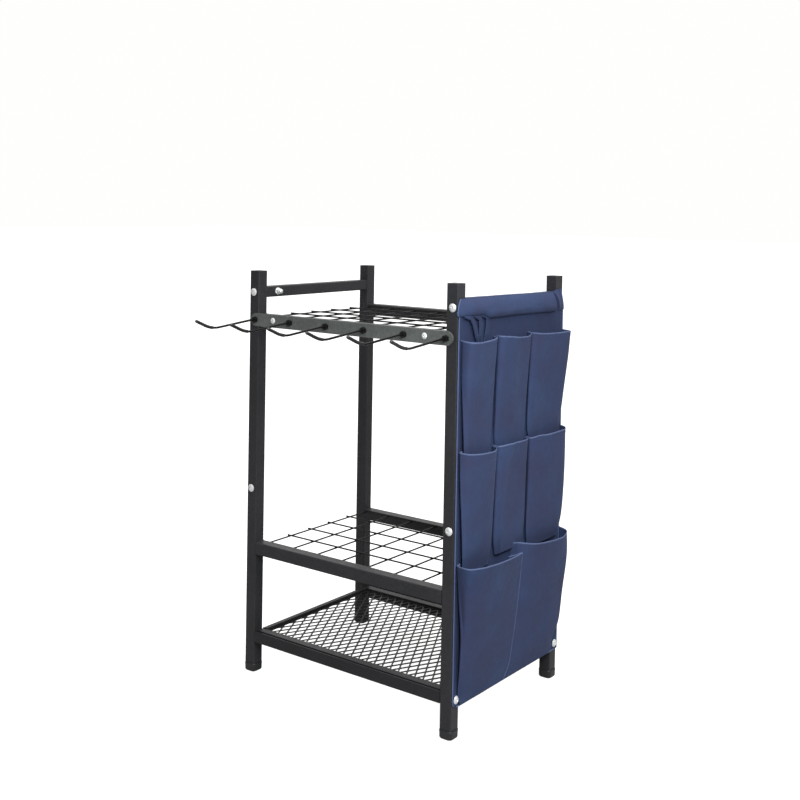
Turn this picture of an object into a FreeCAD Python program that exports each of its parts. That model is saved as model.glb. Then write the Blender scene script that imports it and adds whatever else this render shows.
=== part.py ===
import FreeCAD, Part
import math
import os

os.makedirs("parts", exist_ok=True)
V = FreeCAD.Vector

# Free-standing steel rack with a fabric pocket bag on its right side.
# Millimetres, +Z up, X along the width, -Y is the side with the hook bar.
# Everything below is laid out about the centre of the four posts; ORIGIN_X/Y
# move it so that the origin is the bottom centre of the whole rack's box.

# ---------------------------------------------------------------- driving sizes
HEIGHT = 940.0
POST = 28.6
POST_WALL = 1.5
POST_R = 3.0
SPAN_X = 557.6            # post centre to post centre
SPAN_Y = 405.7
SEAM_Z = 417.0            # butt joint between lower and upper post sections
SLEEVE_HALF = 40.0
PLUG_T = 1.5
FOOT_W = 31.8
FOOT_H = 19.5
FOOT_T = 5.0
FOOT_R = 5.5
FOOT_ROUND = 5.0

ANGLE_LEG = 25.4
ANGLE_T = 2.0
ANGLE_Z = 72.5
TRAY_IN = 9.0             # groove between the angle's face and the tray frame
TRAY_W = 20.0
TRAY_TOP = 98.0
TRAY_END_GAP = 2.5
TRAY_SIDE_W = 12.0
TRAY_SIDE_Z = (88.5, 99.5)
TRAY_SIDE_X = 262.7
MESH_Z = (91.0, 92.6)
MESH_LONG = 41.0
MESH_SHORT = 22.0
MESH_STRAND = 3.2

RAIL_DEEP = 29.0
RAIL_WALL = 1.5
MID_FRONT_Z = (277.5, 306.5)
MID_BACK_Z = (276.5, 302.0)
TOP_Z = (812.0, 840.0)
WIRE_D = 3.6
PITCH = 73.5
MID_WIRE_Z = 298.4
TOP_WIRE_Z = 832.2
SIDE_RAIL_Z = (877.0, 902.4)
SIDE_RAIL_W = 25.4        # flush with the posts' outer faces

BAR_T = 5.0
BAR_Z = 827.0
BAR_R = 15.0
BAR_END_X = 269.0
BAR_BOLT_X = 214.0
HOOK_X = (-269.0, -161.4, -53.8, 53.8, 161.4, 269.0)
ROD_D = 5.0
NUT_AF = 12.6
NUT_T = 8.5
CAP_D = 7.0

BOLT_HEAD_D = 17.5
BOLT_HEAD_H = 4.5
BOLT_D = 6.0
BOLT_X = 280.4            # the posts' bolts, on the side rails' centre line
BOLT_Y = 204.45
SIDE_BOLT_Z = 890.2
SPLICE_BOLT_Z = 431.4
BAG_BOLT_Z = (83.0, 81.5)
ACORN_Y = -150.0

CLOTH = 1.6
PANEL_X = 0.3             # clearance of the bag's back to the posts
PANEL_Y = (-215.5, 217.0)
PANEL_Z = (65.0, 872.0)
SLEEVE_Z = (873.0, 907.0)

ORIGIN_X = 25.63
ORIGIN_Y = -94.451

PX, PY = SPAN_X / 2, SPAN_Y / 2
OX, OY = PX + POST / 2, PY + POST / 2
IX, IY = PX - POST / 2, PY - POST / 2

nodes = {}


# ---------------------------------------------------------------- helpers
def box(x, y, z):
    return Part.makeBox(x[1] - x[0], y[1] - y[0], z[1] - z[0], V(x[0], y[0], z[0]))


def bar(axis, x, y, z, r):
    """Solid bar along an axis with its four long edges rounded."""
    rng = {"x": (x, y, z), "y": (y, z, x), "z": (z, x, y)}[axis]
    a, u, v = rng
    if r <= 0:
        return box(x, y, z)

    def p(s, t):
        return {"x": V(a[0], s, t), "y": V(t, a[0], s), "z": V(s, t, a[0])}[axis]

    k = r * (1 - math.sqrt(0.5))
    u0, u1, v0, v1 = u[0], u[1], v[0], v[1]
    e = [
        Part.makeLine(p(u0 + r, v0), p(u1 - r, v0)),
        Part.Arc(p(u1 - r, v0), p(u1 - k, v0 + k), p(u1, v0 + r)).toShape(),
        Part.makeLine(p(u1, v0 + r), p(u1, v1 - r)),
        Part.Arc(p(u1, v1 - r), p(u1 - k, v1 - k), p(u1 - r, v1)).toShape(),
        Part.makeLine(p(u1 - r, v1), p(u0 + r, v1)),
        Part.Arc(p(u0 + r, v1), p(u0 + k, v1 - k), p(u0, v1 - r)).toShape(),
        Part.makeLine(p(u0, v1 - r), p(u0, v0 + r)),
        Part.Arc(p(u0, v0 + r), p(u0 + k, v0 + k), p(u0 + r, v0)).toShape(),
    ]
    d = {"x": V(1, 0, 0), "y": V(0, 1, 0), "z": V(0, 0, 1)}[axis]
    return Part.Face(Part.Wire(e)).extrude(d * (a[1] - a[0]))


def tube(axis, x, y, z, wall, r):
    rng = {"x": x, "y": y, "z": z}
    inner = {}
    for k, w in rng.items():
        inner[k] = (w[0] - 1, w[1] + 1) if k == axis else (w[0] + wall, w[1] - wall)
    return bar(axis, x, y, z, r).cut(
        bar(axis, inner["x"], inner["y"], inner["z"], max(r - wall, 0.0)))


def cyl(p, d, r, h):
    return Part.makeCylinder(r, h, V(*p), V(*d))


def prism(points, vec):
    pts = [V(*q) for q in points]
    return Part.Face(Part.makePolygon(pts + [pts[0]])).extrude(V(*vec))


def hexagon(af, h, turn=0.0):
    r = af / math.sqrt(3)
    pts = [(r * math.cos(math.radians(60 * i + turn)), r * math.sin(math.radians(60 * i + turn)), 0.0)
           for i in range(6)]
    return prism(pts, (0, 0, h))


def revolve(edges):
    s = Part.Face(Part.Wire(edges)).revolve(V(0, 0, 0), V(0, 0, 1), 360)
    return s if s.ShapeType == "Solid" else Part.Solid(s)


def place(s, p, d):
    s = s.copy()
    s.Placement = FreeCAD.Placement(V(*p), FreeCAD.Rotation(V(0, 0, 1), V(*d)))
    return s


def dome(r, rim, h):
    """Low round head, flat side on z=0, top at z=h."""
    rise = h - rim
    big = (r * r + rise * rise) / (2 * rise)
    a = math.asin(r / big) / 2
    mid = V(big * math.sin(a), 0, h - big + big * math.cos(a))
    return revolve([
        Part.makeLine(V(0, 0, 0), V(r, 0, 0)),
        Part.makeLine(V(r, 0, 0), V(r, 0, rim)),
        Part.Arc(V(r, 0, rim), mid, V(0, 0, h)).toShape(),
        Part.makeLine(V(0, 0, h), V(0, 0, 0)),
    ])


def bolt(p, d, length, head_d=BOLT_HEAD_D, head_h=BOLT_HEAD_H, shank=BOLT_D, socket=5.0):
    """Round head standing out along d from p, shank running the other way."""
    head = dome(head_d / 2, 1.0, head_h)
    s = hexagon(socket, head_h)
    s.translate(V(0, 0, head_h - 2.0))
    head = head.cut(s)
    body = head.fuse(Part.makeCylinder(shank / 2, length + 0.5, V(0, 0, -length)))
    return place(body, p, d)


def solids(*shapes):
    out = []
    for s in shapes:
        out += s.Solids
    return out[0] if len(out) == 1 else Part.makeCompound(out)


# ---------------------------------------------------------------- posts and feet
CORNERS = {"fl": (-1, -1), "fr": (1, -1), "bl": (-1, 1), "br": (1, 1)}
sleeves, plugs, splice_bolts, side_bolts, bag_bolts = [], [], [], [], []
half = POST / 2
inner = POST - 2 * POST_WALL
for name, (sx, sy) in CORNERS.items():
    cx, cy = sx * PX, sy * PY
    xr, yr = (cx - half, cx + half), (cy - half, cy + half)
    ix, iy = (cx - inner / 2, cx + inner / 2), (cy - inner / 2, cy + inner / 2)
    lower = tube("z", xr, yr, (FOOT_T, SEAM_Z), POST_WALL, POST_R)
    upper = tube("z", xr, yr, (SEAM_Z, HEIGHT - PLUG_T), POST_WALL, POST_R)
    sleeve = tube("z", ix, iy, (SEAM_Z - SLEEVE_HALF, SEAM_Z + SLEEVE_HALF), 1.5, POST_R - POST_WALL)
    face = cy + sy * half
    bx = sx * BOLT_X
    through = cyl((bx, face + sy * 1, SPLICE_BOLT_Z), (0, -sy, 0), BOLT_D / 2, 12)
    upper = upper.cut(through)
    sleeve = sleeve.cut(through)
    rail_hole = cyl((bx, face + sy * 1, SIDE_BOLT_Z), (0, -sy, 0), BOLT_D / 2, 40)
    upper = upper.cut(rail_hole)
    splice_bolts.append(bolt((bx, face, SPLICE_BOLT_Z), (0, sy, 0), 7.0))
    side_bolts.append(bolt((bx, face, SIDE_BOLT_Z), (0, sy, 0), POST + 6.0))
    if sx > 0:
        bz = BAG_BOLT_Z[0] if sy < 0 else BAG_BOLT_Z[1]
        by = -BOLT_Y + 2.5 if sy < 0 else BOLT_Y
        lower = lower.cut(cyl((OX + 1, by, bz), (-1, 0, 0), BOLT_D / 2, 12))
        bag_bolts.append(bolt((OX + PANEL_X + CLOTH, by, bz), (1, 0, 0), 8.0))
    nodes["post_%s_lower" % name] = lower
    nodes["post_%s_upper" % name] = upper
    sleeves.append(sleeve)
    plug = bar("z", xr, yr, (HEIGHT - PLUG_T, HEIGHT), POST_R)
    stem = bar("z", ix, iy, (HEIGHT - 14, HEIGHT - PLUG_T), POST_R - POST_WALL)
    stem = stem.cut(bar("z", (ix[0] + 2, ix[1] - 2), (iy[0] + 2, iy[1] - 2), (HEIGHT - 15, HEIGHT - 3.5), 0.5))
    plugs.append(plug.fuse(stem).removeSplitter())
    fh = FOOT_W / 2
    foot = bar("z", (cx - fh, cx + fh), (cy - fh, cy + fh), (0, FOOT_H), FOOT_R)
    low = [e for e in foot.Edges if abs(e.BoundBox.ZMax) < 1e-6]
    foot = foot.makeFillet(FOOT_ROUND, low)
    rim = bar("z", (cx - fh - 0.6, cx + fh + 0.6), (cy - fh - 0.6, cy + fh + 0.6), (FOOT_H - 4.5, FOOT_H), FOOT_R + 0.6)
    foot = foot.fuse(rim).cut(bar("z", xr, yr, (FOOT_T, FOOT_H + 1), POST_R))
    nodes["foot_cap_%s" % name] = foot.removeSplitter()

nodes["splice_sleeves"] = solids(*sleeves)
nodes["post_top_plugs"] = solids(*plugs)
nodes["splice_bolts"] = solids(*splice_bolts)

# ---------------------------------------------------------------- bottom shelf
for name, s in (("front", -1), ("back", 1)):
    y0 = s * OY
    profile = [(-IX, y0, ANGLE_Z), (-IX, y0 - s * ANGLE_LEG, ANGLE_Z),
               (-IX, y0 - s * ANGLE_LEG, ANGLE_Z + ANGLE_T), (-IX, y0 - s * ANGLE_T, ANGLE_Z + ANGLE_T),
               (-IX, y0 - s * ANGLE_T, ANGLE_Z + ANGLE_LEG), (-IX, y0, ANGLE_Z + ANGLE_LEG)]
    nodes["bottom_rail_%s" % name] = prism(profile, (2 * IX, 0, 0))
    a, b = sorted((y0 - s * TRAY_IN, y0 - s * (TRAY_IN + TRAY_W)))
    nodes["tray_%s" % name] = tube("x", (-IX + TRAY_END_GAP, IX - TRAY_END_GAP), (a, b),
                                   (ANGLE_Z + ANGLE_T, TRAY_TOP), 1.5, 1.5)
tray_y = OY - TRAY_IN - TRAY_W
for name, s in (("left", -1), ("right", 1)):
    x = sorted((s * TRAY_SIDE_X, s * (TRAY_SIDE_X - TRAY_SIDE_W)))
    nodes["tray_%s" % name] = tube("y", tuple(x), (-tray_y, tray_y), TRAY_SIDE_Z, 1.2, 1.2)


def clip(poly, axis, limit, keep):
    out = []
    for i, a in enumerate(poly):
        b = poly[(i + 1) % len(poly)]
        ia, ib = keep * (a[axis] - limit) >= 0, keep * (b[axis] - limit) >= 0
        if ia:
            out.append(a)
        if ia != ib:
            t = (limit - a[axis]) / (b[axis] - a[axis])
            out.append((a[0] + t * (b[0] - a[0]), a[1] + t * (b[1] - a[1])))
    return out


def area(poly):
    return abs(sum(a[0] * b[1] - b[0] * a[1] for a, b in zip(poly, poly[1:] + poly[:1]))) / 2


def expanded(x1, y1, z, border):
    """Flat sheet with staggered diamond openings, long way along Y."""
    slope = math.hypot(MESH_LONG, MESH_SHORT)
    hx = MESH_SHORT / 2 - MESH_STRAND / 2 * slope / MESH_LONG
    hy = MESH_LONG / 2 - MESH_STRAND / 2 * slope / MESH_SHORT
    holes = []
    nx = int(x1 / MESH_SHORT) + 2
    ny = int(2 * y1 / MESH_LONG) + 2
    for j in range(-ny, ny + 1):
        for i in range(-nx, nx + 1):
            cx = (i + 0.5 * (j % 2)) * MESH_SHORT
            cy = j * MESH_LONG / 2
            poly = [(cx - hx, cy), (cx, cy - hy), (cx + hx, cy), (cx, cy + hy)]
            for axis, lim in ((0, x1 - border), (1, y1 - border)):
                poly = clip(poly, axis, -lim, 1) if poly else poly
                poly = clip(poly, axis, lim, -1) if poly else poly
            if len(poly) >= 3 and area(poly) > 8.0:
                holes.append(poly)
    def wire(p):
        q = [V(a, b, z[0]) for a, b in p]
        return Part.makePolygon(q + [q[0]])
    outer = wire([(-x1, -y1), (x1, -y1), (x1, y1), (-x1, y1)])
    face = Part.Face([outer] + [wire(h) for h in holes])
    face.validate()
    return face.extrude(V(0, 0, z[1] - z[0]))


nodes["tray_mesh"] = expanded(TRAY_SIDE_X - TRAY_SIDE_W, tray_y, MESH_Z, 1.6)

# ---------------------------------------------------------------- middle shelf and top frame
front_y = (-OY, -OY + RAIL_DEEP)
back_y = (IY, OY)
nodes["middle_rail_front"] = tube("x", (-IX, IX), front_y, MID_FRONT_Z, RAIL_WALL, POST_R)
nodes["middle_rail_back"] = tube("x", (-IX, IX), back_y, MID_BACK_Z, RAIL_WALL, POST_R)
top_front = tube("x", (-IX, IX), front_y, TOP_Z, RAIL_WALL, POST_R)
nodes["top_rail_back"] = tube("x", (-IX, IX), back_y, TOP_Z, RAIL_WALL, POST_R)

long_x = [PITCH * (i - 3.5) for i in range(8)]
cross_y = [PITCH * (i - 2.5) for i in range(6)]
for level, z in (("middle", MID_WIRE_Z), ("top", TOP_WIRE_Z)):
    nodes["%s_grid_long_wires" % level] = solids(*[
        cyl((x, front_y[1], z), (0, 1, 0), WIRE_D / 2, back_y[0] - front_y[1]) for x in long_x])
    nodes["%s_grid_cross_wires" % level] = solids(*[
        cyl((long_x[0] - 2.5, y, z + WIRE_D), (1, 0, 0), WIRE_D / 2, long_x[-1] - long_x[0] + 5.0)
        for y in cross_y])

# side rails, each closed at both ends by a threaded plate
acorn_parts = []
for name, s in (("left", -1), ("right", 1)):
    x = tuple(sorted((s * (OX - SIDE_RAIL_W), s * OX)))
    rail = tube("y", x, (-IY, IY), SIDE_RAIL_Z, POST_WALL, POST_R)
    for e in (-1, 1):
        y = sorted((e * IY, e * (IY - 3.0)))
        plate = bar("y", (x[0] + POST_WALL, x[1] - POST_WALL), tuple(y),
                    (SIDE_RAIL_Z[0] + POST_WALL, SIDE_RAIL_Z[1] - POST_WALL), 1.0)
        rail = rail.fuse(plate)
        rail = rail.cut(cyl((s * BOLT_X, e * (IY + 1), SIDE_BOLT_Z), (0, -e, 0), BOLT_D / 2, 6))
    rail = rail.removeSplitter()
    if s < 0:
        rail = rail.cut(cyl((-OX - 1, ACORN_Y, SIDE_BOLT_Z), (1, 0, 0), BOLT_D / 2, SIDE_RAIL_W + 2))
    nodes["top_side_rail_%s" % name] = rail
nodes["side_rail_bolts"] = solids(*side_bolts)

# bolt with washer and acorn nut through the left side rail
RX = OX - SIDE_RAIL_W
nodes["left_rail_bolt"] = bolt((-OX, ACORN_Y, SIDE_BOLT_Z), (-1, 0, 0), SIDE_RAIL_W + 9.0, 14.0, 4.0)
washer = cyl((-RX, ACORN_Y, SIDE_BOLT_Z), (1, 0, 0), 8.5, 1.3).cut(
    cyl((-RX - 1, ACORN_Y, SIDE_BOLT_Z), (1, 0, 0), BOLT_D / 2, 4))
nodes["left_rail_washer"] = washer
nut = hexagon(12.5, 6.5).common(dome(7.25, 5.6, 9.0))
ball = dome(5.6, 3.5, 8.2)
ball.translate(V(0, 0, 5.5))
nut = nut.fuse(ball)
nut = nut.cut(Part.makeCylinder(BOLT_D / 2, 8.0, V(0, 0, -0.3)))
nodes["left_rail_acorn_nut"] = place(nut, (-RX + 1.3, ACORN_Y, SIDE_BOLT_Z), (1, 0, 0))

# ---------------------------------------------------------------- hook bar and hooks
by0, by1 = -OY - BAR_T, -OY
a0, a1 = V(-BAR_END_X, by1, BAR_Z + BAR_R), V(BAR_END_X, by1, BAR_Z + BAR_R)
b0, b1 = V(-BAR_END_X, by1, BAR_Z - BAR_R), V(BAR_END_X, by1, BAR_Z - BAR_R)
flat = Part.Face(Part.Wire([
    Part.makeLine(a0, a1),
    Part.Arc(a1, V(BAR_END_X + BAR_R, by1, BAR_Z), b1).toShape(),
    Part.makeLine(b1, b0),
    Part.Arc(b0, V(-BAR_END_X - BAR_R, by1, BAR_Z), a0).toShape(),
])).extrude(V(0, -BAR_T, 0))
for x in HOOK_X:
    flat = flat.cut(cyl((x, by0 - 1, BAR_Z), (0, 1, 0), ROD_D / 2, BAR_T + 2))
bar_bolts = []
for s in (-1, 1):
    hole = cyl((s * BAR_BOLT_X, by0 - 1, BAR_Z + 1), (0, 1, 0), BOLT_D / 2, BAR_T + RAIL_WALL + 3)
    flat = flat.cut(hole)
    top_front = top_front.cut(hole)
    bar_bolts.append(bolt((s * BAR_BOLT_X, by0, BAR_Z + 1), (0, -1, 0), BAR_T + 8.0, 13.5, 3.8))
nodes["hook_bar"] = flat
nodes["top_rail_front"] = top_front
nodes["hook_bar_bolts"] = solids(*bar_bolts)

# side profile of a hook: straight through the nut, sagging, then rising to the tip
HOOK_YZ = [(-217.15, 827.0), (-238.0, 827.0), (-360.0, 815.7), (-406.8, 835.6)]
HOOK_BEND = (60.0, 90.0)
CAP_FROM = 0.45           # the cap starts this far through the second bend


def rod_segments(x, r, bends):
    """Straight and bent lengths of a round rod; bends: [(corner, radius)]."""
    pts = [V(x, y, z) for y, z in HOOK_YZ]
    out, start = [], pts[0]
    for i, radius in enumerate(bends):
        p, q, s = pts[i], pts[i + 1], pts[i + 2]
        u, w = (q - p).normalize(), (s - q).normalize()
        turn = math.atan2(u.cross(w).x, u.dot(w))
        back = radius * math.tan(abs(turn) / 2)
        t0, t1 = q - u * back, q + w * back
        side = V(1, 0, 0).cross(u) * (1 if turn > 0 else -1)
        out.append(("line", start, t0))
        out.append(("arc", t0, u, t0 + side * radius, turn))
        start = t1
    out.append(("line", start, pts[-1]))
    return out


def rod_solid(segments, r):
    body = None
    for seg in segments:
        if seg[0] == "line":
            d = seg[2] - seg[1]
            piece = Part.makeCylinder(r, d.Length, seg[1], d)
        else:
            _, p, u, centre, turn = seg
            disc = Part.Face(Part.Wire(Part.makeCircle(r, p, u)))
            piece = disc.revolve(centre, V(1, 0, 0) * (1 if turn > 0 else -1), abs(math.degrees(turn)))
            if piece.Volume < 0:
                piece.reverse()
        body = piece if body is None else body.fuse(piece)
    return body


def turned(v, angle):
    c, s = math.cos(angle), math.sin(angle)
    return V(v.x, v.y * c - v.z * s, v.y * s + v.z * c)


collars, caps = [], []
for i, x in enumerate(HOOK_X):
    segs = rod_segments(x, ROD_D / 2, HOOK_BEND)
    tip, way = segs[-1][2], (segs[-1][2] - segs[-1][1]).normalize()
    short = segs[:-1] + [("line", segs[-1][1], tip - way * 1.5)]
    rod = rod_solid(short, ROD_D / 2)
    nodes["hook_%d" % (i + 1)] = rod
    _, p, u, centre, turn = segs[3]
    p2, u2 = centre + turned(p - centre, turn * CAP_FROM), turned(u, turn * CAP_FROM)
    cap = rod_solid([("arc", p2, u2, centre, turn * (1 - CAP_FROM)), segs[-1]], CAP_D / 2)
    cap = cap.fuse(Part.makeSphere(CAP_D / 2, tip, way, -90, 90, 360))
    caps.append(cap.cut(rod))
    n = hexagon(NUT_AF, NUT_T, 30).common(dome(NUT_AF / 2 * 1.13, NUT_T - 1.0, NUT_T + 1.2))
    n = n.cut(Part.makeCylinder(ROD_D / 2, NUT_T + 2, V(0, 0, -1)))
    collars.append(place(n, (x, by0, BAR_Z), (0, -1, 0)))
nodes["hook_collars"] = solids(*collars)
nodes["hook_tip_caps"] = solids(*caps)

# ---------------------------------------------------------------- fabric bag
px0 = OX + PANEL_X
px1 = px0 + CLOTH
panel = box((px0, px1), PANEL_Y, PANEL_Z)
for by, bz in zip((-BOLT_Y + 2.5, BOLT_Y), BAG_BOLT_Z):
    panel = panel.cut(cyl((px0 - 1, by, bz), (1, 0, 0), BOLT_D / 2, CLOTH + 2))
nodes["bag_back_panel"] = panel
nodes["bag_bolts"] = solids(*bag_bolts)

# sleeve: a closed loop of cloth round the right side rail, its outer face
# running on over the posts
gap = 0.3
sl = box((RX - gap - CLOTH, px1), (-IY + 1.0, IY - 1.0), (PANEL_Z[1], SIDE_RAIL_Z[1] + gap + CLOTH))
sl = sl.cut(box((RX - gap, px0), (-IY - 1.0, IY + 1.0), (PANEL_Z[1] + CLOTH, SIDE_RAIL_Z[1] + gap)))
sl = sl.fuse(box((px0, px1), PANEL_Y, (PANEL_Z[1], SLEEVE_Z[1])))
nodes["bag_sleeve"] = sl.removeSplitter()


def pchip(xs, ys, x):
    """Smooth curve through points that never swings past them."""
    n = len(xs)
    h = [xs[i + 1] - xs[i] for i in range(n - 1)]
    m = [(ys[i + 1] - ys[i]) / h[i] for i in range(n - 1)]
    g = [m[0]]
    for i in range(1, n - 1):
        g.append(0.0 if m[i - 1] * m[i] <= 0 else 2 * m[i - 1] * m[i] / (m[i - 1] + m[i]))
    g.append(m[-1])
    i = max(j for j in range(n - 1) if x >= xs[j] or j == 0)
    t = (x - xs[i]) / h[i]
    return ((1 + 2 * t) * (1 - t) ** 2 * ys[i] + t * (1 - t) ** 2 * h[i] * g[i]
            + t * t * (3 - 2 * t) * ys[i + 1] + t * t * (t - 1) * h[i] * g[i + 1])


STEPS = (0.0, 0.25, 0.5, 0.75)


def section(z, y0, y1, pts, inset):
    """Closed outline at one height: flat at the panel, bulging outwards."""
    ys = [y0] + [p[0] for p in pts] + [y1]
    ds = [px1 - OX] + [p[1] for p in pts] + [px1 - OX]
    back = px1 if inset == 0 else px1 - 1.0
    shrink = (y1 - y0 - 2 * inset) / (y1 - y0)
    out = []
    for i in range(len(ys) - 1):
        for t in STEPS:
            y = ys[i] + t * (ys[i + 1] - ys[i])
            d = pchip(ys, ds, y)
            out.append(V(max(OX + d - inset, back), y0 + inset + (y - y0) * shrink, z))
    out[0] = V(back, y0 + inset, z)
    out.append(V(back, y1 - inset, z))
    return Part.makePolygon(out + [out[0]])


def pocket(levels, rim):
    """Open-topped pocket from bottom to top sections, rim cut along a slope.

    levels: (z, y0, y1, [(y, outward depth), ...]); rim: ((y, z), (y, z)).
    """
    outer = Part.makeLoft([section(z, a, b, p, 0) for z, a, b, p in levels], True, True)
    inner_levels = [(z if i else z + CLOTH, a, b, p) for i, (z, a, b, p) in enumerate(levels)]
    inner_s = Part.makeLoft([section(z, a, b, p, CLOTH) for z, a, b, p in inner_levels], True, True)
    s = outer.cut(inner_s)
    (ya, za), (yb, zb) = rim
    k = (zb - za) / (yb - ya)
    y_lo, y_hi = levels[-1][1] - 30, levels[-1][2] + 30
    top = [(OX - 20, y_lo, za + k * (y_lo - ya)), (OX - 20, y_hi, za + k * (y_hi - ya)),
           (OX - 20, y_hi, 1200), (OX - 20, y_lo, 1200)]
    return s.cut(prism(top, (120, 0, 0)))


def scaled(pts, y0, y1, n0, n1, f, add=0.0):
    """Move a rim profile onto another width and scale its depth."""
    return [(n0 + (y - y0) / (y1 - y0) * (n1 - n0), d * f + add) for y, d in pts]


SEAM = 0.25
TUCK = {1: 34.0, 2: 34.0, 3: 34.0, 4: 34.0, 5: 9.0, 6: 34.0}
ROWS = {
    # name: (bottom z, rim top z, y0, y1, rim slope, rim profile)
    1: (600.0, 836.0, -211.0, -80.0, ((-210, 822.5), (-81, 821.5)),
        [(-208, 22), (-195, 32), (-170, 34), (-128, 25), (-95, 16)]),
    2: (600.0, 836.0, -80.0, 61.0, ((-80, 825.5), (62, 817.0)),
        [(-74, 20), (-53, 35), (-13, 31), (22, 25), (48, 15)]),
    3: (600.0, 836.0, 61.0, 213.0, ((61, 820.0), (209, 815.5)),
        [(67, 16), (94, 29), (130, 34), (170, 35), (204, 29)]),
    4: (371.0, 604.0, -211.0, -74.0, ((-214, 594.0), (-73, 587.5)),
        [(-207, 18), (-188, 30), (-157, 35), (-118, 30), (-86, 17)]),
    5: (371.0, 604.0, -74.0, 57.0, ((-76, 590.0), (55, 586.5)),
        [(-68, 15), (-41, 25), (-14, 24), (14, 19), (45, 13)]),
    6: (371.0, 604.0, 57.0, 213.0, ((57, 589.5), (204, 590.5)),
        [(63, 16), (90, 28), (127, 30), (165, 30), (204, 20)]),
}
for i, (zb, zt, y0, y1, rim, pts) in ROWS.items():
    y0, y1 = y0 + SEAM, y1 - SEAM
    zm = zb + 0.45 * (zt - zb)
    # the lowest part hangs inside the mouth of the pocket below
    levels = [(zb - TUCK[i], y0 + 16, y1 - 16, scaled(pts, y0, y1, y0 + 17, y1 - 17, 0.03, 4.6)),
              (zb - 4.0, y0 + 13, y1 - 13, scaled(pts, y0, y1, y0 + 14, y1 - 14, 0.04, 4.8)),
              (zb + 16.0, y0 + 1, y1 - 1, scaled(pts, y0, y1, y0 + 2, y1 - 2, 0.10, 4.8)),
              (zm, y0, y1, scaled(pts, y0, y1, y0, y1, 0.42, 3.0)),
              (zt, y0, y1, scaled(pts, y0, y1, y0, y1, 1.05))]
    nodes["bag_pocket_%d" % i] = pocket(levels, rim)

wide7 = [(-215, 40), (-187, 54), (-139, 55), (-46, 41), (10, 24)]
wide8 = [(44, 22), (86, 45), (133, 46), (179, 37), (208, 25)]
levels7 = [(68.0, -190.0, -9.0, [(-186, 5.0), (-160, 8.0), (-105, 9.5), (-45, 8.0), (-14, 5.0)]),
           (165.0, -209.0, -1.0, [(-205, 9.0), (-170, 17.0), (-110, 19.0), (-45, 16.0), (-8, 8.0)]),
           (265.0, -211.0, 16.0, [(-209, 18.0), (-178, 30.0), (-120, 32.0), (-40, 26.0), (5, 13.0)]),
           (380.0, -211.0, 36.5, [(-217, 44.0), (-189, 59.0), (-139, 60.0), (-46, 46.0), (16, 25.0)])]
levels8 = [(68.0, -8.5, 190.0, [(-3, 5.0), (40, 8.0), (95, 9.5), (155, 9.0), (185, 6.0)]),
           (165.0, -0.5, 209.0, [(5, 8.0), (45, 15.0), (100, 18.0), (165, 17.0), (203, 12.0)]),
           (265.0, 16.5, 213.0, [(22, 12.0), (60, 26.0), (110, 31.0), (170, 31.0), (207, 21.0)]),
           (380.0, 37.0, 213.0, [(44, 22.0), (82, 47.0), (130, 50.0), (178, 42.0), (208, 28.0)])]
nodes["bag_pocket_7"] = pocket(levels7, ((-214, 364.5), (25, 346.0)))
nodes["bag_pocket_8"] = pocket(levels8, ((41, 358.0), (205, 347.0)))

# ---------------------------------------------------------------- export
whole = None
for name in sorted(nodes):
    s = nodes[name]
    s = s.copy()
    s.translate(V(-ORIGIN_X, -ORIGIN_Y, 0))
    bad = [k for k in s.Solids if not k.isValid() or k.Volume <= 0]
    if bad or not s.Solids:
        print("BAD", name, len(s.Solids))
    s.exportStep("parts/%s.step" % name)
    pts = s.tessellate(0.1)[0]
    b = FreeCAD.BoundBox(min(q.x for q in pts), min(q.y for q in pts), min(q.z for q in pts),
                         max(q.x for q in pts), max(q.y for q in pts), max(q.z for q in pts))
    print("%-26s %2d  X %8.2f %8.2f  Y %8.2f %8.2f  Z %8.2f %8.2f  V %9.1f" % (
        name, len(s.Solids), b.XMin, b.XMax, b.YMin, b.YMax, b.ZMin, b.ZMax, s.Volume))
    if whole is None:
        whole = FreeCAD.BoundBox(b)
    else:
        whole.add(b)
print("ALL X %.3f %.3f Y %.3f %.3f Z %.3f %.3f centre %.4f %.4f nodes %d" % (
    whole.XMin, whole.XMax, whole.YMin, whole.YMax, whole.ZMin, whole.ZMax,
    (whole.XMin + whole.XMax) / 2, (whole.YMin + whole.YMax) / 2, len(nodes)))
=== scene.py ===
import math

import bpy
from mathutils import Matrix, Vector, noise


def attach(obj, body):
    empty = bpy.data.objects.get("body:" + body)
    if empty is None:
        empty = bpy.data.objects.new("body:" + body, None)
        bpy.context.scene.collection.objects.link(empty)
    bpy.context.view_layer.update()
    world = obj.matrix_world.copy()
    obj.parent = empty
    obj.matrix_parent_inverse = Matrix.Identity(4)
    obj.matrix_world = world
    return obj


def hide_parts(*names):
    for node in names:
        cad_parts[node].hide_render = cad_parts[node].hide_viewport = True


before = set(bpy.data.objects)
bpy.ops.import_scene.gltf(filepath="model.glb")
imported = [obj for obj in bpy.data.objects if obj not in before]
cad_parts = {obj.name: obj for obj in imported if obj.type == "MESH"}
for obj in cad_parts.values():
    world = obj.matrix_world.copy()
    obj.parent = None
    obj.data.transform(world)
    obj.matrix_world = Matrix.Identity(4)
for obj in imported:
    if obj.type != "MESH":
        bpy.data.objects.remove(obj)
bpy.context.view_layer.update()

ORIGIN = (25.63, -94.451)   # the row origin, in the layout part.py draws in (mm)
FACE = 293.1                # outer faces of the right-hand posts


def M(x, y, z):
    return Vector(((x - ORIGIN[0]) / 1000, (y - ORIGIN[1]) / 1000, z / 1000))


def bag(o, y, z):
    """A point o mm outside the right posts' faces."""
    return M(FACE + o, y, z)


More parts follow.
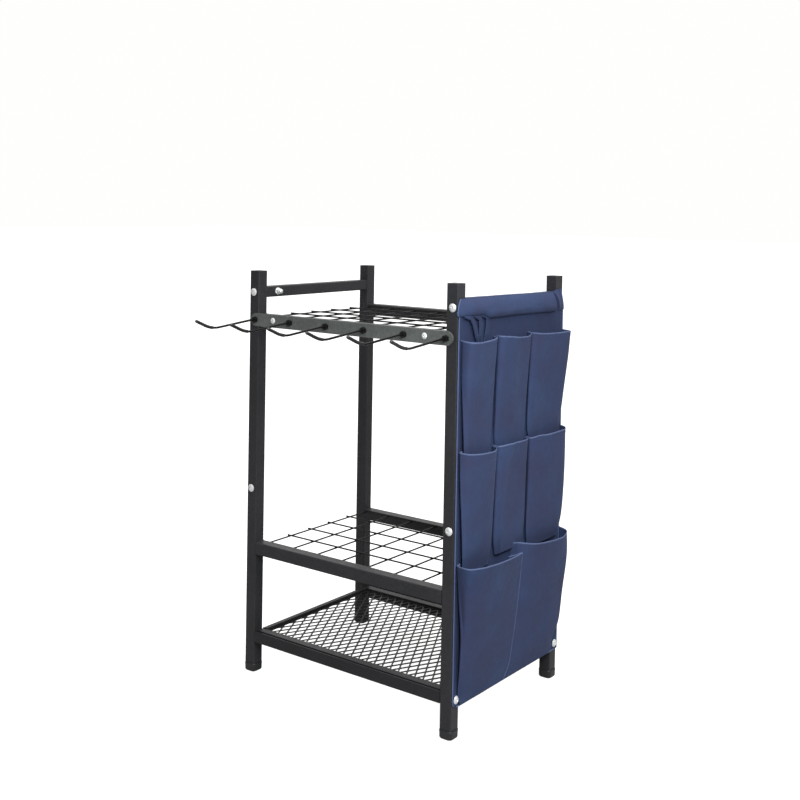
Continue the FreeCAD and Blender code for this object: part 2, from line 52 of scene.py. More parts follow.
# ------------------------------------------------------------------ camera
def camera():
    yaw, pitch, roll = math.radians(36.998), math.radians(1.216), math.radians(0.948)
    fw = Vector((-math.sin(yaw) * math.cos(pitch), math.cos(yaw) * math.cos(pitch), -math.sin(pitch)))
    right = Vector((math.cos(yaw), math.sin(yaw), 0))
    up = right.cross(fw)
    r = right * math.cos(roll) + up * math.sin(roll)
    u = -right * math.sin(roll) + up * math.cos(roll)
    data = bpy.data.cameras.new("camera")
    data.sensor_width = 36.0
    data.lens = 1154.892 / 800 * 36
    data.shift_x = (400 - 400.007) / 800
    data.shift_y = (231.566 - 400) / 800
    data.clip_end = 60
    ob = bpy.data.objects.new("camera", data)
    bpy.context.scene.collection.objects.link(ob)
    rot = Matrix((r, u, -fw)).transposed().to_4x4()
    ob.matrix_world = Matrix.Translation(M(1606.22, -2159.41, 1093.66)) @ rot
    bpy.context.scene.camera = ob


camera()


# ------------------------------------------------------------------ materials
class Mat:
    def __init__(self, name):
        self.mat = bpy.data.materials.new(name)
        self.mat.use_nodes = True
        self.nt = self.mat.node_tree
        self.bsdf = next(n for n in self.nt.nodes if n.type == "BSDF_PRINCIPLED")
        self.coord = self.add("ShaderNodeTexCoord").outputs["Object"]

    def add(self, kind, **props):
        n = self.nt.nodes.new(kind)
        for k, v in props.items():
            setattr(n, k, v)
        return n

    def link(self, a, b):
        self.nt.links.new(a, b)

    def noise(self, scale, detail=3.0, rough=0.5, vec=None):
        n = self.add("ShaderNodeTexNoise")
        n.inputs["Scale"].default_value = scale
        n.inputs["Detail"].default_value = detail
        n.inputs["Roughness"].default_value = rough
        self.link(vec or self.coord, n.inputs["Vector"])
        return n.outputs["Fac"]

    def ramp(self, fac, stops):
        n = self.add("ShaderNodeValToRGB")
        e = n.color_ramp.elements
        while len(e) < len(stops):
            e.new(0.5)
        for k, (pos, col) in zip(e, stops):
            k.position = pos
            k.color = (*col, 1) if hasattr(col, "__len__") else (col, col, col, 1)
        self.link(fac, n.inputs["Fac"])
        return n.outputs["Color"]

    def math(self, op, a, b=None):
        n = self.add("ShaderNodeMath", operation=op)
        for i, v in enumerate((a, b)):
            if v is None:
                continue
            if isinstance(v, (int, float)):
                n.inputs[i].default_value = v
            else:
                self.link(v, n.inputs[i])
        return n.outputs[0]

    def mix(self, a, b, fac, kind="MIX"):
        n = self.add("ShaderNodeMix", data_type="RGBA", blend_type=kind)
        for sock, v in ((n.inputs[0], fac), (n.inputs[6], a), (n.inputs[7], b)):
            if isinstance(v, (int, float)):
                sock.default_value = v
            elif isinstance(v, tuple):
                sock.default_value = (*v, 1)
            else:
                self.link(v, sock)
        return n.outputs[2]

    def bump(self, height, strength, distance, normal=None):
        n = self.add("ShaderNodeBump")
        n.inputs["Strength"].default_value = strength
        n.inputs["Distance"].default_value = distance
        self.link(height, n.inputs["Height"])
        if normal is not None:
            self.link(normal, n.inputs["Normal"])
        return n.outputs["Normal"]

    def separate(self):
        n = self.add("ShaderNodeSeparateXYZ")
        self.link(self.coord, n.inputs[0])
        return n.outputs

    def set(self, **kw):
        for k, v in kw.items():
            sock = self.bsdf.inputs[k.replace("_", " ")]
            if isinstance(v, (int, float)):
                sock.default_value = v
            elif isinstance(v, tuple):
                sock.default_value = (*v, 1)
            else:
                self.link(v, sock)
        return self


def coat(name, dark, light, rough, grain=1500.0, strength=0.10):
    """Powder coat: fine orange peel, slow drifts of tone and gloss, dust in the low frequencies."""
    m = Mat(name)
    drift = m.noise(7.0, 4.0, 0.6)
    fine = m.noise(160.0, 3.0, 0.6)
    base = m.ramp(drift, [(0.30, dark), (0.72, light)])
    speck = m.ramp(fine, [(0.35, 0.88), (0.70, 1.14)])
    m.set(Base_Color=m.mix(base, speck, 1.0, "MULTIPLY"))
    peel = m.noise(grain, 2.0, 0.5)
    n1 = m.bump(peel, strength, 0.0004)
    n2 = m.bump(m.noise(260.0, 2.0, 0.5), 0.05, 0.0006, n1)
    m.set(Normal=n2, Roughness=m.ramp(m.noise(35.0, 4.0, 0.6), [(0.3, rough - 0.05), (0.7, rough + 0.07)]))
    m.bsdf.inputs["Specular IOR Level"].default_value = 0.20
    return m.mat


def steel(name, base, rough):
    """Bright zinc: fine turning marks and a patchy, slightly blue-grey passivation."""
    m = Mat(name)
    patch = m.noise(420.0, 3.0, 0.6)
    col = m.ramp(patch, [(0.3, tuple(c * 0.82 for c in base)), (0.7, base)])
    m.set(Base_Color=col, Metallic=0.62,
          Roughness=m.ramp(m.noise(900.0, 3.0, 0.7), [(0.3, rough - 0.08), (0.7, rough + 0.12)]),
          Normal=m.bump(m.noise(2400.0, 2.0, 0.6), 0.12, 0.0002))
    return m.mat


def plastic(name, dark, light, rough):
    m = Mat(name)
    m.set(Base_Color=m.ramp(m.noise(60.0, 4.0, 0.6), [(0.3, dark), (0.7, light)]),
          Roughness=m.ramp(m.noise(120.0, 3.0, 0.6), [(0.3, rough - 0.06), (0.7, rough + 0.08)]),
          Normal=m.bump(m.noise(2600.0, 2.0, 0.7), 0.16, 0.00025))
    return m.mat


def cloth(name, dark, mid, light, thread=0.0009, lift=0.5):
    """Coated plain-weave polyester: warp and weft, slubs, faint creases and drifting tone."""
    m = Mat(name)
    x, y, z = m.separate()
    k = 2 * math.pi / thread
    wobble = m.math("MULTIPLY", m.noise(140.0, 2.0, 0.5), 0.0016)
    warp = m.math("SINE", m.math("MULTIPLY", m.math("ADD", m.math("ADD", y, m.math("MULTIPLY", x, 0.6)), wobble), k))
    weft = m.math("SINE", m.math("MULTIPLY", m.math("ADD", z, wobble), k))
    over = m.math("MULTIPLY", warp, weft)
    weave = m.math("ADD", m.math("MULTIPLY", over, 0.5), 0.5)
    slub_map = m.add("ShaderNodeMapping")
    slub_map.inputs["Scale"].default_value = (1.0, 1.0, 0.12)
    m.link(m.coord, slub_map.inputs["Vector"])
    slub = m.noise(900.0, 2.0, 0.6, slub_map.outputs[0])
    drift = m.noise(9.0, 4.0, 0.6)
    tone = m.ramp(drift, [(0.28, dark), (0.5, mid), (0.75, light)])
    threads = m.ramp(weave, [(0.0, 0.90), (1.0, 1.08)])
    streak = m.ramp(slub, [(0.3, 0.94), (0.7, 1.06)])
    col = m.mix(m.mix(tone, threads, 1.0, "MULTIPLY"), streak, 1.0, "MULTIPLY")
    n1 = m.bump(weave, 0.30 * lift, 0.00025)
    n2 = m.bump(slub, 0.12 * lift, 0.0003, n1)
    n3 = m.bump(m.noise(55.0, 4.0, 0.6), 0.20 * lift, 0.0009, n2)
    m.set(Base_Color=col, Normal=n3,
          Roughness=m.ramp(m.noise(70.0, 3.0, 0.6), [(0.3, 0.70), (0.7, 0.84)]))
    m.bsdf.inputs["Sheen Weight"].default_value = 0.03
    m.bsdf.inputs["Sheen Roughness"].default_value = 0.45
    m.bsdf.inputs["Sheen Tint"].default_value = (0.62, 0.70, 0.95, 1)
    m.bsdf.inputs["Specular IOR Level"].default_value = 0.08
    return m.mat


BLACK = coat("black_powder_coat", (0.0176, 0.0171, 0.0178), (0.0250, 0.0234, 0.0268), 0.40)
# a darker copy of the same black coat for the bottom rails and tray: painted shade, for the low parts sitting in the
# shade of the shelves above
BLACK_PAINTED_SHADE = coat("black_powder_coat_painted_shade", (0.0122, 0.0116, 0.0126), (0.0170, 0.0158, 0.0184), 0.42)
BAR = coat("bar_coat", (0.062, 0.064, 0.060), (0.098, 0.100, 0.094), 0.28, 2200.0, 0.06)
WIRE = coat("wire_coat", (0.0075, 0.0072, 0.0078), (0.011, 0.0105, 0.0115), 0.40, 2200.0, 0.08)
ROD = coat("rod_coat", (0.0028, 0.0028, 0.0028), (0.0055, 0.0055, 0.0053), 0.30, 2600.0, 0.05)
ZINC = steel("bright_zinc", (0.79, 0.78, 0.76), 0.38)
RAW = steel("plain_steel", (0.42, 0.42, 0.42), 0.45)
FOOT = plastic("foot_plastic", (0.0072, 0.0069, 0.0074), (0.0114, 0.0110, 0.0118), 0.46)
VINYL = plastic("cap_vinyl", (0.007, 0.007, 0.007), (0.012, 0.012, 0.012), 0.42)
NAVY = cloth("navy_weave", (0.0303, 0.0332, 0.0700), (0.0291, 0.0386, 0.0832), (0.0313, 0.0482, 0.1035))
# a darker copy of the same navy cloth for the back panel: painted shade, for the shadow under the sleeve and behind the
# pockets
NAVY_PAINTED_SHADE = cloth("navy_weave_painted_shade", (0.0242, 0.0268, 0.0575), (0.0228, 0.0315, 0.0690), (0.0249, 0.0398, 0.0860))
# binding tape, the same navy cloth made lighter: the bindings are real, their lighter tone is painted highlight along
# the folded edges
NAVY_TAPE_PAINTED_HIGHLIGHT = cloth("navy_tape_painted_highlight", (0.062, 0.076, 0.145), (0.070, 0.088, 0.165), (0.080, 0.102, 0.190), 0.0006, 0.7)
NAVY_THREAD = cloth("navy_thread", (0.034, 0.045, 0.100), (0.040, 0.053, 0.115), (0.047, 0.062, 0.130), 0.0004, 0.5)

for name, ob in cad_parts.items():
    mat = BLACK
    if name.startswith("foot_cap"):
        mat = FOOT
    elif name == "hook_tip_caps":
        mat = VINYL
    # the bottom rails and tray take the darker copy of the coat: painted shade
    elif name.startswith(("bottom_rail", "tray_")):
        mat = BLACK_PAINTED_SHADE
    elif name == "hook_bar":
        mat = BAR
    elif name.startswith("hook_") and name[5:].isdigit() or name == "hook_collars":
        mat = ROD
    elif name.endswith("_bolts") or name.startswith("left_rail_"):
        mat = ZINC
    elif name == "splice_sleeves":
        mat = RAW
    elif "wires" in name:
        mat = WIRE
    elif name.startswith("bag_"):
        mat = NAVY
    ob.data.materials.clear()
    ob.data.materials.append(mat)


# ------------------------------------------------------------------ mesh helpers
def piece(name, verts, faces, mat, smooth=True):
    me = bpy.data.meshes.new(name)
    me.from_pydata([tuple(v) for v in verts], [], faces)
    me.validate()
    me.materials.append(mat)
    for p in me.polygons:
        p.use_smooth = smooth
    me.update()
    ob = bpy.data.objects.new(name, me)
    bpy.context.scene.collection.objects.link(ob)
    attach(ob, "root")
    return ob


def grid_faces(nv, nu, closed=False):
    out = []
    for j in range(nv - 1):
        for i in range(nu if closed else nu - 1):
            a, b = j * nu + i, j * nu + (i + 1) % nu
            out.append((a, b, b + nu, a + nu))
    return out


def spline(pts, t):
    """Centripetal Catmull-Rom through a list of Vectors; t in 0..len-1."""
    n = len(pts) - 1
    i = min(int(t), n - 1)
    f = t - i
    p1, p2 = pts[i], pts[i + 1]
    p0 = pts[i - 1] if i else p1 * 2 - p2
    p3 = pts[i + 2] if i + 2 <= n else p2 * 2 - p1
    k1 = max((p1 - p0).length, 1e-4) ** 0.5
    k2 = k1 + max((p2 - p1).length, 1e-4) ** 0.5
    k3 = k2 + max((p3 - p2).length, 1e-4) ** 0.5
    u = k1 + (k2 - k1) * f
    a1 = p0 * ((k1 - u) / k1) + p1 * (u / k1)
    a2 = p1 * ((k2 - u) / (k2 - k1)) + p2 * ((u - k1) / (k2 - k1))
    a3 = p2 * ((k3 - u) / (k3 - k2)) + p3 * ((u - k2) / (k3 - k2))
    b1 = a1 * ((k2 - u) / k2) + a2 * (u / k2)
    b2 = a2 * ((k3 - u) / (k3 - k1)) + a3 * ((u - k1) / (k3 - k1))
    return b1 * ((k2 - u) / (k2 - k1)) + b2 * ((u - k1) / (k2 - k1))


def surface(net, nv, nu):
    """Smooth nv x nu grid through a net of rows of (o, y, z)."""
    rows = [[Vector(p) for p in r] for r in net]
    cols = []
    for c in range(len(rows[0])):
        col = [r[c] for r in rows]
        cols.append([spline(col, (len(rows) - 1) * j / (nv - 1)) for j in range(nv)])
    out = []
    for j in range(nv):
        line = [col[j] for col in cols]
        out.append([spline(line, (len(line) - 1) * i / (nu - 1)) for i in range(nu)])
    return out


def normals(g):
    nv, nu = len(g), len(g[0])
    out = []
    for j in range(nv):
        row = []
        for i in range(nu):
            a = g[j][min(i + 1, nu - 1)] - g[j][max(i - 1, 0)]
            b = g[min(j + 1, nv - 1)][i] - g[max(j - 1, 0)][i]
            n = a.cross(b)
            row.append(n.normalized() if n.length > 1e-9 else Vector((1, 0, 0)))
        out.append(row)
    return out


def creased(y, z, seed):
    """Soft wrinkle field in mm: long drapes plus small puckers."""
    a = noise.noise(Vector((y / 42.0, z / 170.0, seed)))
    b = noise.noise(Vector((y / 15.0, z / 55.0, seed + 7.3)))
    c = noise.noise(Vector((y / 6.5 + z / 60.0, z / 21.0, seed + 3.1)))
    return 1.5 * a + 0.55 * b + 0.16 * c


def length_of(pts):
    return sum((b - a).length for a, b in zip(pts, pts[1:]))


def resample(pts, step):
    """Points every step mm along a polyline, with the distance run."""
    out, need, run = [pts[0]], step, 0.0
    for a, b in zip(pts, pts[1:]):
        seg = (b - a).length
        while seg > 0 and run + seg >= need:
            out.append(a.lerp(b, (need - run) / seg))
            need += step
        run += seg
    return out


TAPE = [(0.72, 2.9), (1.00, 2.3), (1.12, 1.3), (0.98, 0.3), (0.40, -0.45), (-0.40, -0.45),
        (-0.98, 0.3), (-1.12, 1.3), (-1.00, 2.3), (-0.72, 2.9)]


def tape(name, edge, out_n, inward, lift=0.0, width=1.0):
    """Folded binding round a cloth edge. edge: points in (o, y, z); out_n and inward: unit vectors at each."""
    verts, k = [], len(TAPE)
    for p, n, d in zip(edge, out_n, inward):
        for a, b in TAPE:
            verts.append(bag(*(p + n * (a * 0.9 + lift) + d * (b * width))))
    faces = grid_faces(len(edge), k, True)
    faces.append(tuple(range(k - 1, -1, -1)))
    faces.append(tuple((len(edge) - 1) * k + i for i in range(k)))
    # the binding's lighter tone is painted highlight on its folded edge
    return piece(name, verts, faces, NAVY_TAPE_PAINTED_HIGHLIGHT, True)


STITCHES = ([], [])


def stitch(path, out_n, step=4.2, long=2.9):
    """A row of lock stitches lying on the cloth along a path in (o, y, z)."""
    verts, faces = STITCHES
    pts = resample(path, 1.0)
    if len(pts) < 6:
        return
    run = 0.0
    while run + long < len(pts) - 2:
        i, j = int(run), int(run + long)
        a, b = pts[i], pts[j]
        t = (b - a)
        if t.length < 1e-6:
            run += step
            continue
        t.normalize()
        near = min(range(len(path)), key=lambda q: (path[q] - a).length_squared)
        n = out_n[near]
        n = (n - t * n.dot(t)).normalized()
        s = n.cross(t)
        base = len(verts)
        for f, w, h in ((0.0, 0.10, -0.10), (0.18, 0.30, 0.22), (0.5, 0.34, 0.34), (0.82, 0.30, 0.22), (1.0, 0.10, -0.10)):
            c = a.lerp(b, f)
            for q in range(6):
                ang = q * math.pi / 3
                verts.append(bag(*(c + s * (math.cos(ang) * w) + n * (h * 0.55 + math.sin(ang) * w * 0.75))))
        for r in range(4):
            for q in range(6):
                faces.append((base + r * 6 + q, base + r * 6 + (q + 1) % 6,
                              base + (r + 1) * 6 + (q + 1) % 6, base + (r + 1) * 6 + q))
        faces.append(tuple(base + q for q in range(5, -1, -1)))
        faces.append(tuple(base + 24 + q for q in range(6)))
        run += step


# ------------------------------------------------------------------ the bag: pockets
# Each level is a height and the cloth's cross-section there, from its front root
# to its rear root: (outward offset, y). The first level is the rim, with its own z.
# The three pockets along the front post have a bellows fold on that side: the cloth
# runs forward from its root, leaving an open gap, and turns back at the folded edge.
def folded(gap, y, back):
    """The four points from the root to the folded edge, and one past it."""
    return [(2.2, y + back), (2.2 + 0.8 * gap, y + back - 0.6), (2.2 + gap, y + min(5.0, 0.5 * back)),
            (3.6 + gap, y), (5.6 + gap, y - 0.6)]


def level(gap, y, back, rest):
    return folded(gap, y, back) + rest


def rim_of(gap, y, back, z, rest):
    return [(o, yy, z) for o, yy in folded(gap, y, back)] + rest


POCKETS = {
    1: (rim_of(0.2, -207.5, 3.0, 824, [(12, -210.5, 823.6), (29, -208, 822), (35, -184, 820.5), (32, -152, 820.5),
                                        (28, -124, 821.3), (23, -104, 822.2), (17, -91.5, 823), (2.2, -84.5, 823.5)]),
        [(745, level(2.8, -207.5, 11, [(10, -208.5), (21, -205.5), (27, -184), (25, -152), (22, -124), (18, -105), (12, -91.5), (2.2, -85)])),
         (665, level(5.6, -205.5, 17, [(13.0, -204), (16, -199), (18, -180), (16, -150), (14, -124), (12, -105), (8, -92), (2.2, -86)])),
         (604, level(6.6, -202.5, 20, [(12.6, -200), (13.5, -194), (13, -176), (11, -149), (10, -124), (8.5, -106), (5.5, -95), (2.2, -89)])),
         (568, level(3.0, -196.0, 10, [(8.0, -193), (8.4, -186), (8, -170), (7.5, -147), (7, -123), (6, -107), (4, -98), (2.2, -92)]))]),
    2: ([(2.2, -76, 825), (9, -80, 825), (17, -84, 825), (26, -78, 824.5), (32, -56, 822.5), (34, -32, 819.5),
         (29.5, -10, 817.8), (28.5, -4, 817.5), (26, 22, 817.0), (20, 42, 819), (14, 52, 821), (2.2, 57, 822.5)],
        [(745, [(2.2, -77), (7, -80), (13, -83), (20, -78), (25, -56), (26.5, -32), (22, -10), (21, -4), (19, 21), (15, 40), (10, 50), (2.2, 55)]),
         (665, [(2.2, -78), (6, -80), (10, -82), (14, -77), (17, -56), (18, -32), (15.5, -11), (14.5, -5), (12.5, 18), (9.5, 38), (6, 47), (2.2, 52)]),
         (604, [(2.2, -76), (4.5, -78), (7, -77), (9, -72), (10.5, -54), (11, -31), (10, -12), (9.5, -6), (8.5, 16), (6.5, 34), (4.5, 43), (2.2, 48)]),
         (568, [(2.2, -62), (3.4, -62), (4.6, -60), (5.8, -56), (6.5, -44), (7, -28), (6.6, -12), (6.4, -6), (5.8, 12), (4.8, 28), (3.6, 36), (2.2, 41)])]),
    3: ([(2.2, 61.5, 822), (10, 57, 822), (17, 54, 821.5), (24, 60, 820.5), (30, 86, 818), (34, 124, 816.5),
         (35.5, 166, 816), (32, 200, 815), (17, 212, 815), (2.2, 214, 816)],
        [(745, [(2.2, 61), (8, 56), (13, 53), (18, 58), (23, 84), (26, 122), (27, 164), (25, 199), (14, 212), (2.2, 214)]),
         (665, [(2.2, 60), (6, 56), (9, 54), (12, 58), (15, 82), (17, 120), (17, 162), (15, 196), (9, 210), (2.2, 213)]),
         (604, [(2.2, 62), (4.6, 59), (6.5, 57), (8, 61), (10, 82), (11, 119), (11, 160), (9.5, 190), (6, 203), (2.2, 208)]),
         (568, [(2.2, 74), (3.4, 73), (4.6, 73), (5.4, 76), (6.2, 88), (6.8, 119), (6.8, 156), (6, 182), (4, 193), (2.2, 198)])]),
    4: (rim_of(3.6, -211.5, 12, 596, [(12.5, -211.5, 595.5), (25, -203, 593.5), (33, -177, 591), (35, -150, 589.5),
                                       (32, -120, 587.5), (25, -100, 587.3), (17, -87, 588.5), (2.2, -80.5, 590)]),
        [(530, level(4.6, -210.0, 15, [(13.5, -208.5), (22, -201), (29, -176), (30.5, -150), (28, -120), (22, -101), (14, -87.5), (2.2, -81)])),
         (455, level(6.6, -206.5, 20, [(14.0, -204), (19, -196), (24, -174), (25, -149), (23, -120), (18, -101), (11.5, -88.5), (2.2, -82)])),
         (378, level(8.0, -203.0, 22, [(14.2, -200), (15.2, -193), (16, -172), (16, -147), (15, -120), (12, -102), (8, -90), (2.2, -83)])),
         (338, level(3.0, -197.0, 10, [(7.6, -194), (8.2, -188), (8.5, -168), (8.5, -145), (8, -120), (6.5, -104), (4.4, -96), (2.2, -91)]))]),
    5: ([(2.2, -73, 590), (9, -77, 589.5), (16, -79, 589.5), (22, -74, 590.2), (26, -52, 591), (27.5, -33, 590.8), (25, -22, 590.3),
         (23, 4, 589), (20, 30, 588), (15, 45, 587.2), (9, 51, 586.8), (2.2, 54, 586.5)],
        [(530, [(2.2, -74), (8, -78), (14, -80), (19, -75), (23, -62), (25.5, -49), (21, -41), (17.5, 0), (15.5, 28), (12, 44), (8, 50), (2.2, 54)]),
         (455, [(2.2, -75), (7, -79), (12, -81), (16, -77), (20, -68), (23.5, -60), (18, -53), (13, -4), (11.5, 26), (9.5, 44), (6.5, 50), (2.2, 54)]),
         (388, [(2.2, -75), (5.6, -78), (8.6, -79), (11, -76), (13.5, -70), (16, -62), (12.5, -56), (10, -6), (8.5, 25), (7, 42), (5, 49), (2.2, 53)]),
         (352, [(2.2, -66), (3.8, -68), (5.4, -68), (6.4, -65), (7.2, -58), (8, -50), (7.4, -44), (7, -8), (6, 18), (5, 32), (3.8, 38), (2.2, 42)])]),
    6: ([(2.2, 58.5, 589), (9, 55, 588.5), (15, 53, 588), (21, 58, 588.8), (26, 76, 591), (30.5, 110, 589.5),
         (31.5, 150, 590), (29, 189, 590.5), (16, 209, 591), (2.2, 214, 592)],
        [(530, [(2.2, 59), (8, 56), (13, 54), (18, 58), (23, 77), (27, 111), (28, 150), (26, 190), (16, 210), (2.2, 214)]),
         (455, [(2.2, 60), (6.6, 57), (11, 55), (15, 59), (19, 78), (22, 112), (23, 150), (22, 190), (15, 209), (2.2, 214)]),
         (378, [(2.2, 61), (5.6, 58), (8.4, 56), (10.5, 60), (13, 80), (15, 113), (16, 150), (16, 188), (11, 206), (2.2, 212)]),
         (338, [(2.2, 68), (3.8, 66), (5.2, 66), (6.2, 69), (7, 84), (7.8, 114), (8, 150), (7.6, 180), (5.4, 195), (2.2, 201)])]),
    7: (rim_of(3.4, -213.0, 13, 364.5, [(15, -218, 365.3), (40, -221, 365.5), (53, -197, 364.2), (56, -154, 361),
                                         (51, -104, 356), (43, -52, 351), (34, -9, 347.3), (30.5, 4, 346), (21, 1, 342), (2.2, -7, 334)]),
        [(300, level(5.6, -209.0, 17, [(14, -209.5), (28, -211), (40, -190), (43, -152), (41, -103), (35, -52), (28.5, -9), (26, 6), (17, 1), (2.2, -10)])),
         (212, level(9.2, -204.5, 22, [(17.2, -203.5), (22, -200), (27, -180), (29, -146), (27, -98), (24.5, -52), (21, -13), (19, 2.5), (12, -4), (2.2, -20)])),
         (138, level(6.2, -204.5, 20, [(12.4, -203), (14.5, -198), (17, -177), (18.5, -142), (18, -95), (16.2, -55), (14.4, -21), (13.4, -5.5), (8, -14), (2.2, -30)])),
         (96, level(0.6, -200.0, 6, [(5.2, -197), (7.4, -190), (10, -170), (11, -139), (11, -92), (10.2, -55), (9.2, -25), (8.6, -9.5), (5.4, -18), (2.2, -36)])),
         (69, level(0.2, -191.0, 4, [(4.2, -188), (4.5, -182), (4.8, -166), (5.2, -138), (5.2, -95), (4.9, -62), (4.5, -36), (4.2, -24), (3.3, -31), (2.2, -42)]))]),
    8: ([(2.2, 0, 362), (12, 4, 364.5), (20, 7, 365.5), (27, 14, 364.5), (39, 43, 358.5), (45.5, 86, 354),
         (46, 133, 350), (38, 180, 346.5), (24, 212, 350), (2.2, 216, 354)],
        [(300, [(2.2, -3), (10, 0), (16, 2), (22, 9), (32, 43), (38.5, 86), (39.5, 133), (36.5, 182), (27, 210), (2.2, 216)]),
         (212, [(2.2, -13), (7, -11), (10.5, -9), (14, -3), (21.5, 34), (26.5, 84), (28, 133), (25.5, 181), (19, 206), (2.2, 214)]),
         (138, [(2.2, -25), (4.6, -23), (6.6, -21), (8.8, -15), (13.6, 24), (17.5, 80), (18.5, 130), (17.5, 177), (12, 203), (2.2, 212)]),
         (96, [(2.2, -34), (3.2, -32), (4.2, -31), (5.4, -25), (8.8, 16), (11.4, 76), (11.6, 124), (10.5, 160), (7, 182), (2.2, 190)]),
         (69, [(2.2, -38), (2.8, -36), (3.2, -35), (3.6, -30), (4.4, 14), (5.2, 74), (5.2, 120), (4.6, 156), (3.4, 180), (2.2, 188)])]),
}

sheet_facts = {}


def make_pocket(i, rim, levels):
    net = [rim] + [[(o, y, z) for o, y in pts] for z, pts in levels]
    nv, nu = 60, 112
    g = surface(net, nv, nu)
    nn = normals(g)
    sign = 1 if nn[nv // 2][nu // 2].x > 0 else -1
    for j in range(nv):
        for k in range(nu):
            n = nn[j][k] * sign
            u, v = k / (nu - 1), j / (nv - 1)
            hold = min(1.0, 3.0 * u, (2.4 if i == 7 else 6.0) * (1 - u)) * min(1.0, 0.35 + 3.0 * v) * min(1.0, 0.25 + 4.0 * (1 - v))
            g[j][k] = g[j][k] + n * (creased(g[j][k].y, g[j][k].z, i * 11.7) * hold)
    for j in range(nv):
        for k in range(nu):
            if g[j][k].x < 2.0:
                g[j][k].x = 2.0
    nn = [[n * sign for n in row] for row in normals(g)]
    verts = [bag(*p) for row in g for p in row]
    name = "pocket_%d" % i
    ob = piece(name, verts, grid_faces(nv, nu), NAVY, True)
    s = ob.modifiers.new("cloth", "SOLIDIFY")
    s.thickness = 0.0011
    s.offset = 0.0
    s.use_even_offset = False
    edge = g[0]
    down = []
    for k in range(nu):
        d = g[2][k] - g[0][k]
        down.append(d.normalized())
    t = [tape(name + "_binding", edge, nn[0], down)]
    if i == 7:
        # this pocket's rear side is folded under, and a strip of the lighter binding tape runs on down the fold:
        # painted highlight along the fold's edge
        fold = [max(range(nu // 2, nu), key=lambda k: 0.8 * g[j][k].x + 0.6 * g[j][k].y) for j in range(nv - 2)]
        line = [g[j][k] for j, k in enumerate(fold)]
        to = [(g[j][k - 2] - g[j][k]).normalized() for j, k in enumerate(fold)]
        t.append(tape(name + "_fold_tape_painted_highlight", line, [nn[j][k - 1] for j, k in enumerate(fold)], to, 0.2, 0.8))
    # stitching: along the binding, down both seams, along the bottom
    def at(depth):
        line, nrm = [], []
        for k in range(2, nu - 2):
            run = 0.0
            for j in range(nv - 1):
                seg = (g[j + 1][k] - g[j][k]).length
                if run + seg >= depth:
                    f = (depth - run) / seg
                    line.append(g[j][k].lerp(g[j + 1][k], f) + nn[j][k] * 0.62)
                    nrm.append(nn[j][k])
                    break
                run += seg
        return line, nrm
    stitch(*at(9.0))
    for k in (3, nu - 4):
        line = [g[j][k] + nn[j][k] * 0.62 for j in range(4, nv - 1)]
        stitch(line, [nn[j][k] for j in range(4, nv - 1)])
    for j in (nv - 3,):
        stitch([g[j][k] + nn[j][k] * 0.62 for k in range(2, nu - 2)], nn[j][2:nu - 2])
    wide = sum(length_of(g[j]) for j in (0, nv // 3, 2 * nv // 3, nv - 1)) / 4
    tall = sum(length_of([g[j][k] for j in range(nv)]) for k in (10, nu // 2, nu - 11)) / 3
    flat = (round(wide / 1000, 3), round(tall / 1000, 3))
    sheet_facts[name] = flat
    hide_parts("bag_pocket_%d" % i)
    return ob


# ------------------------------------------------------------------ the bag: back panel and sleeve
PLEATS = [  # crease line as (y, z), and the height of the cloth folded over it from behind
    ([(-219, 878), (-199, 870.5), (-181, 864), (-172, 853), (-164, 835), (-157, 818), (-152, 800)], 1.15),
    ([(-186, 880), (-164, 869.5), (-147, 862), (-145.5, 848), (-146, 820), (-146, 800)], 1.0),
    ([(-150, 879), (-132, 868.5), (-118.5, 863.5), (-118.5, 849), (-121, 832), (-125, 820), (-127, 800)], 0.9),
]
# across a crease, to the rear: distance before, distance after, height. The cloth runs
# under the fold, turns back at its lip and falls away behind.
LAP = [(-6.0, -6.0, 0.0), (0.0, 2.6, 0.0), (1.2, 4.2, 0.7), (2.2, 3.8, 2.9), (4.0, -0.8, 4.4), (5.0, -2.2, 5.2),
       (6.0, -1.0, 6.5), (9.0, 5.0, 6.0), (14.0, 12.6, 3.2), (21.0, 21.0, 0.0)]


def pleat(y, z):
    """(y, z, height) of a point of the flat cloth once the pleats are in it."""
    oy, oz, up = 0.0, 0.0, 0.0
    for line, size in PLEATS:
        best = None
        for (y0, z0), (y1, z1) in zip(line, line[1:]):
            dy, dz = y1 - y0, z1 - z0
            ll = math.hypot(dy, dz)
            t = max(0.0, min(1.0, ((y - y0) * dy + (z - z0) * dz) / (ll * ll)))
            d = math.hypot(y - y0 - t * dy, z - z0 - t * dz)
            ny, nz = -dz / ll, dy / ll
            if best is None or d < best[0]:
                best = (d, (y - y0) * ny + (z - z0) * nz, ny, nz)
        d, side, ny, nz = best
        d = d if side >= 0 else -d
        if d <= LAP[0][0] or d >= LAP[-1][0]:
            continue
        fade = max(0.0, min(1.0, (z - 803) / 26)) * max(0.0, min(1.0, (883 - z) / 8))
        for (a0, b0, h0), (a1, b1, h1) in zip(LAP, LAP[1:]):
            if a0 <= d <= a1:
                f = (d - a0) / (a1 - a0)
                f = f * f * (3 - 2 * f) if 1 < a1 < 7 else f
                run, h = b0 + (b1 - b0) * f - d, h0 + (h1 - h0) * f
                oy += run * ny * fade
                oz += run * nz * fade
                up = max(up, h * size * fade)
                break
    return y + oy, z + oz, up


def steps(a, b, step):
    n = max(1, int(round((b - a) / step)))
    return [a + (b - a) * i / n for i in range(n)]


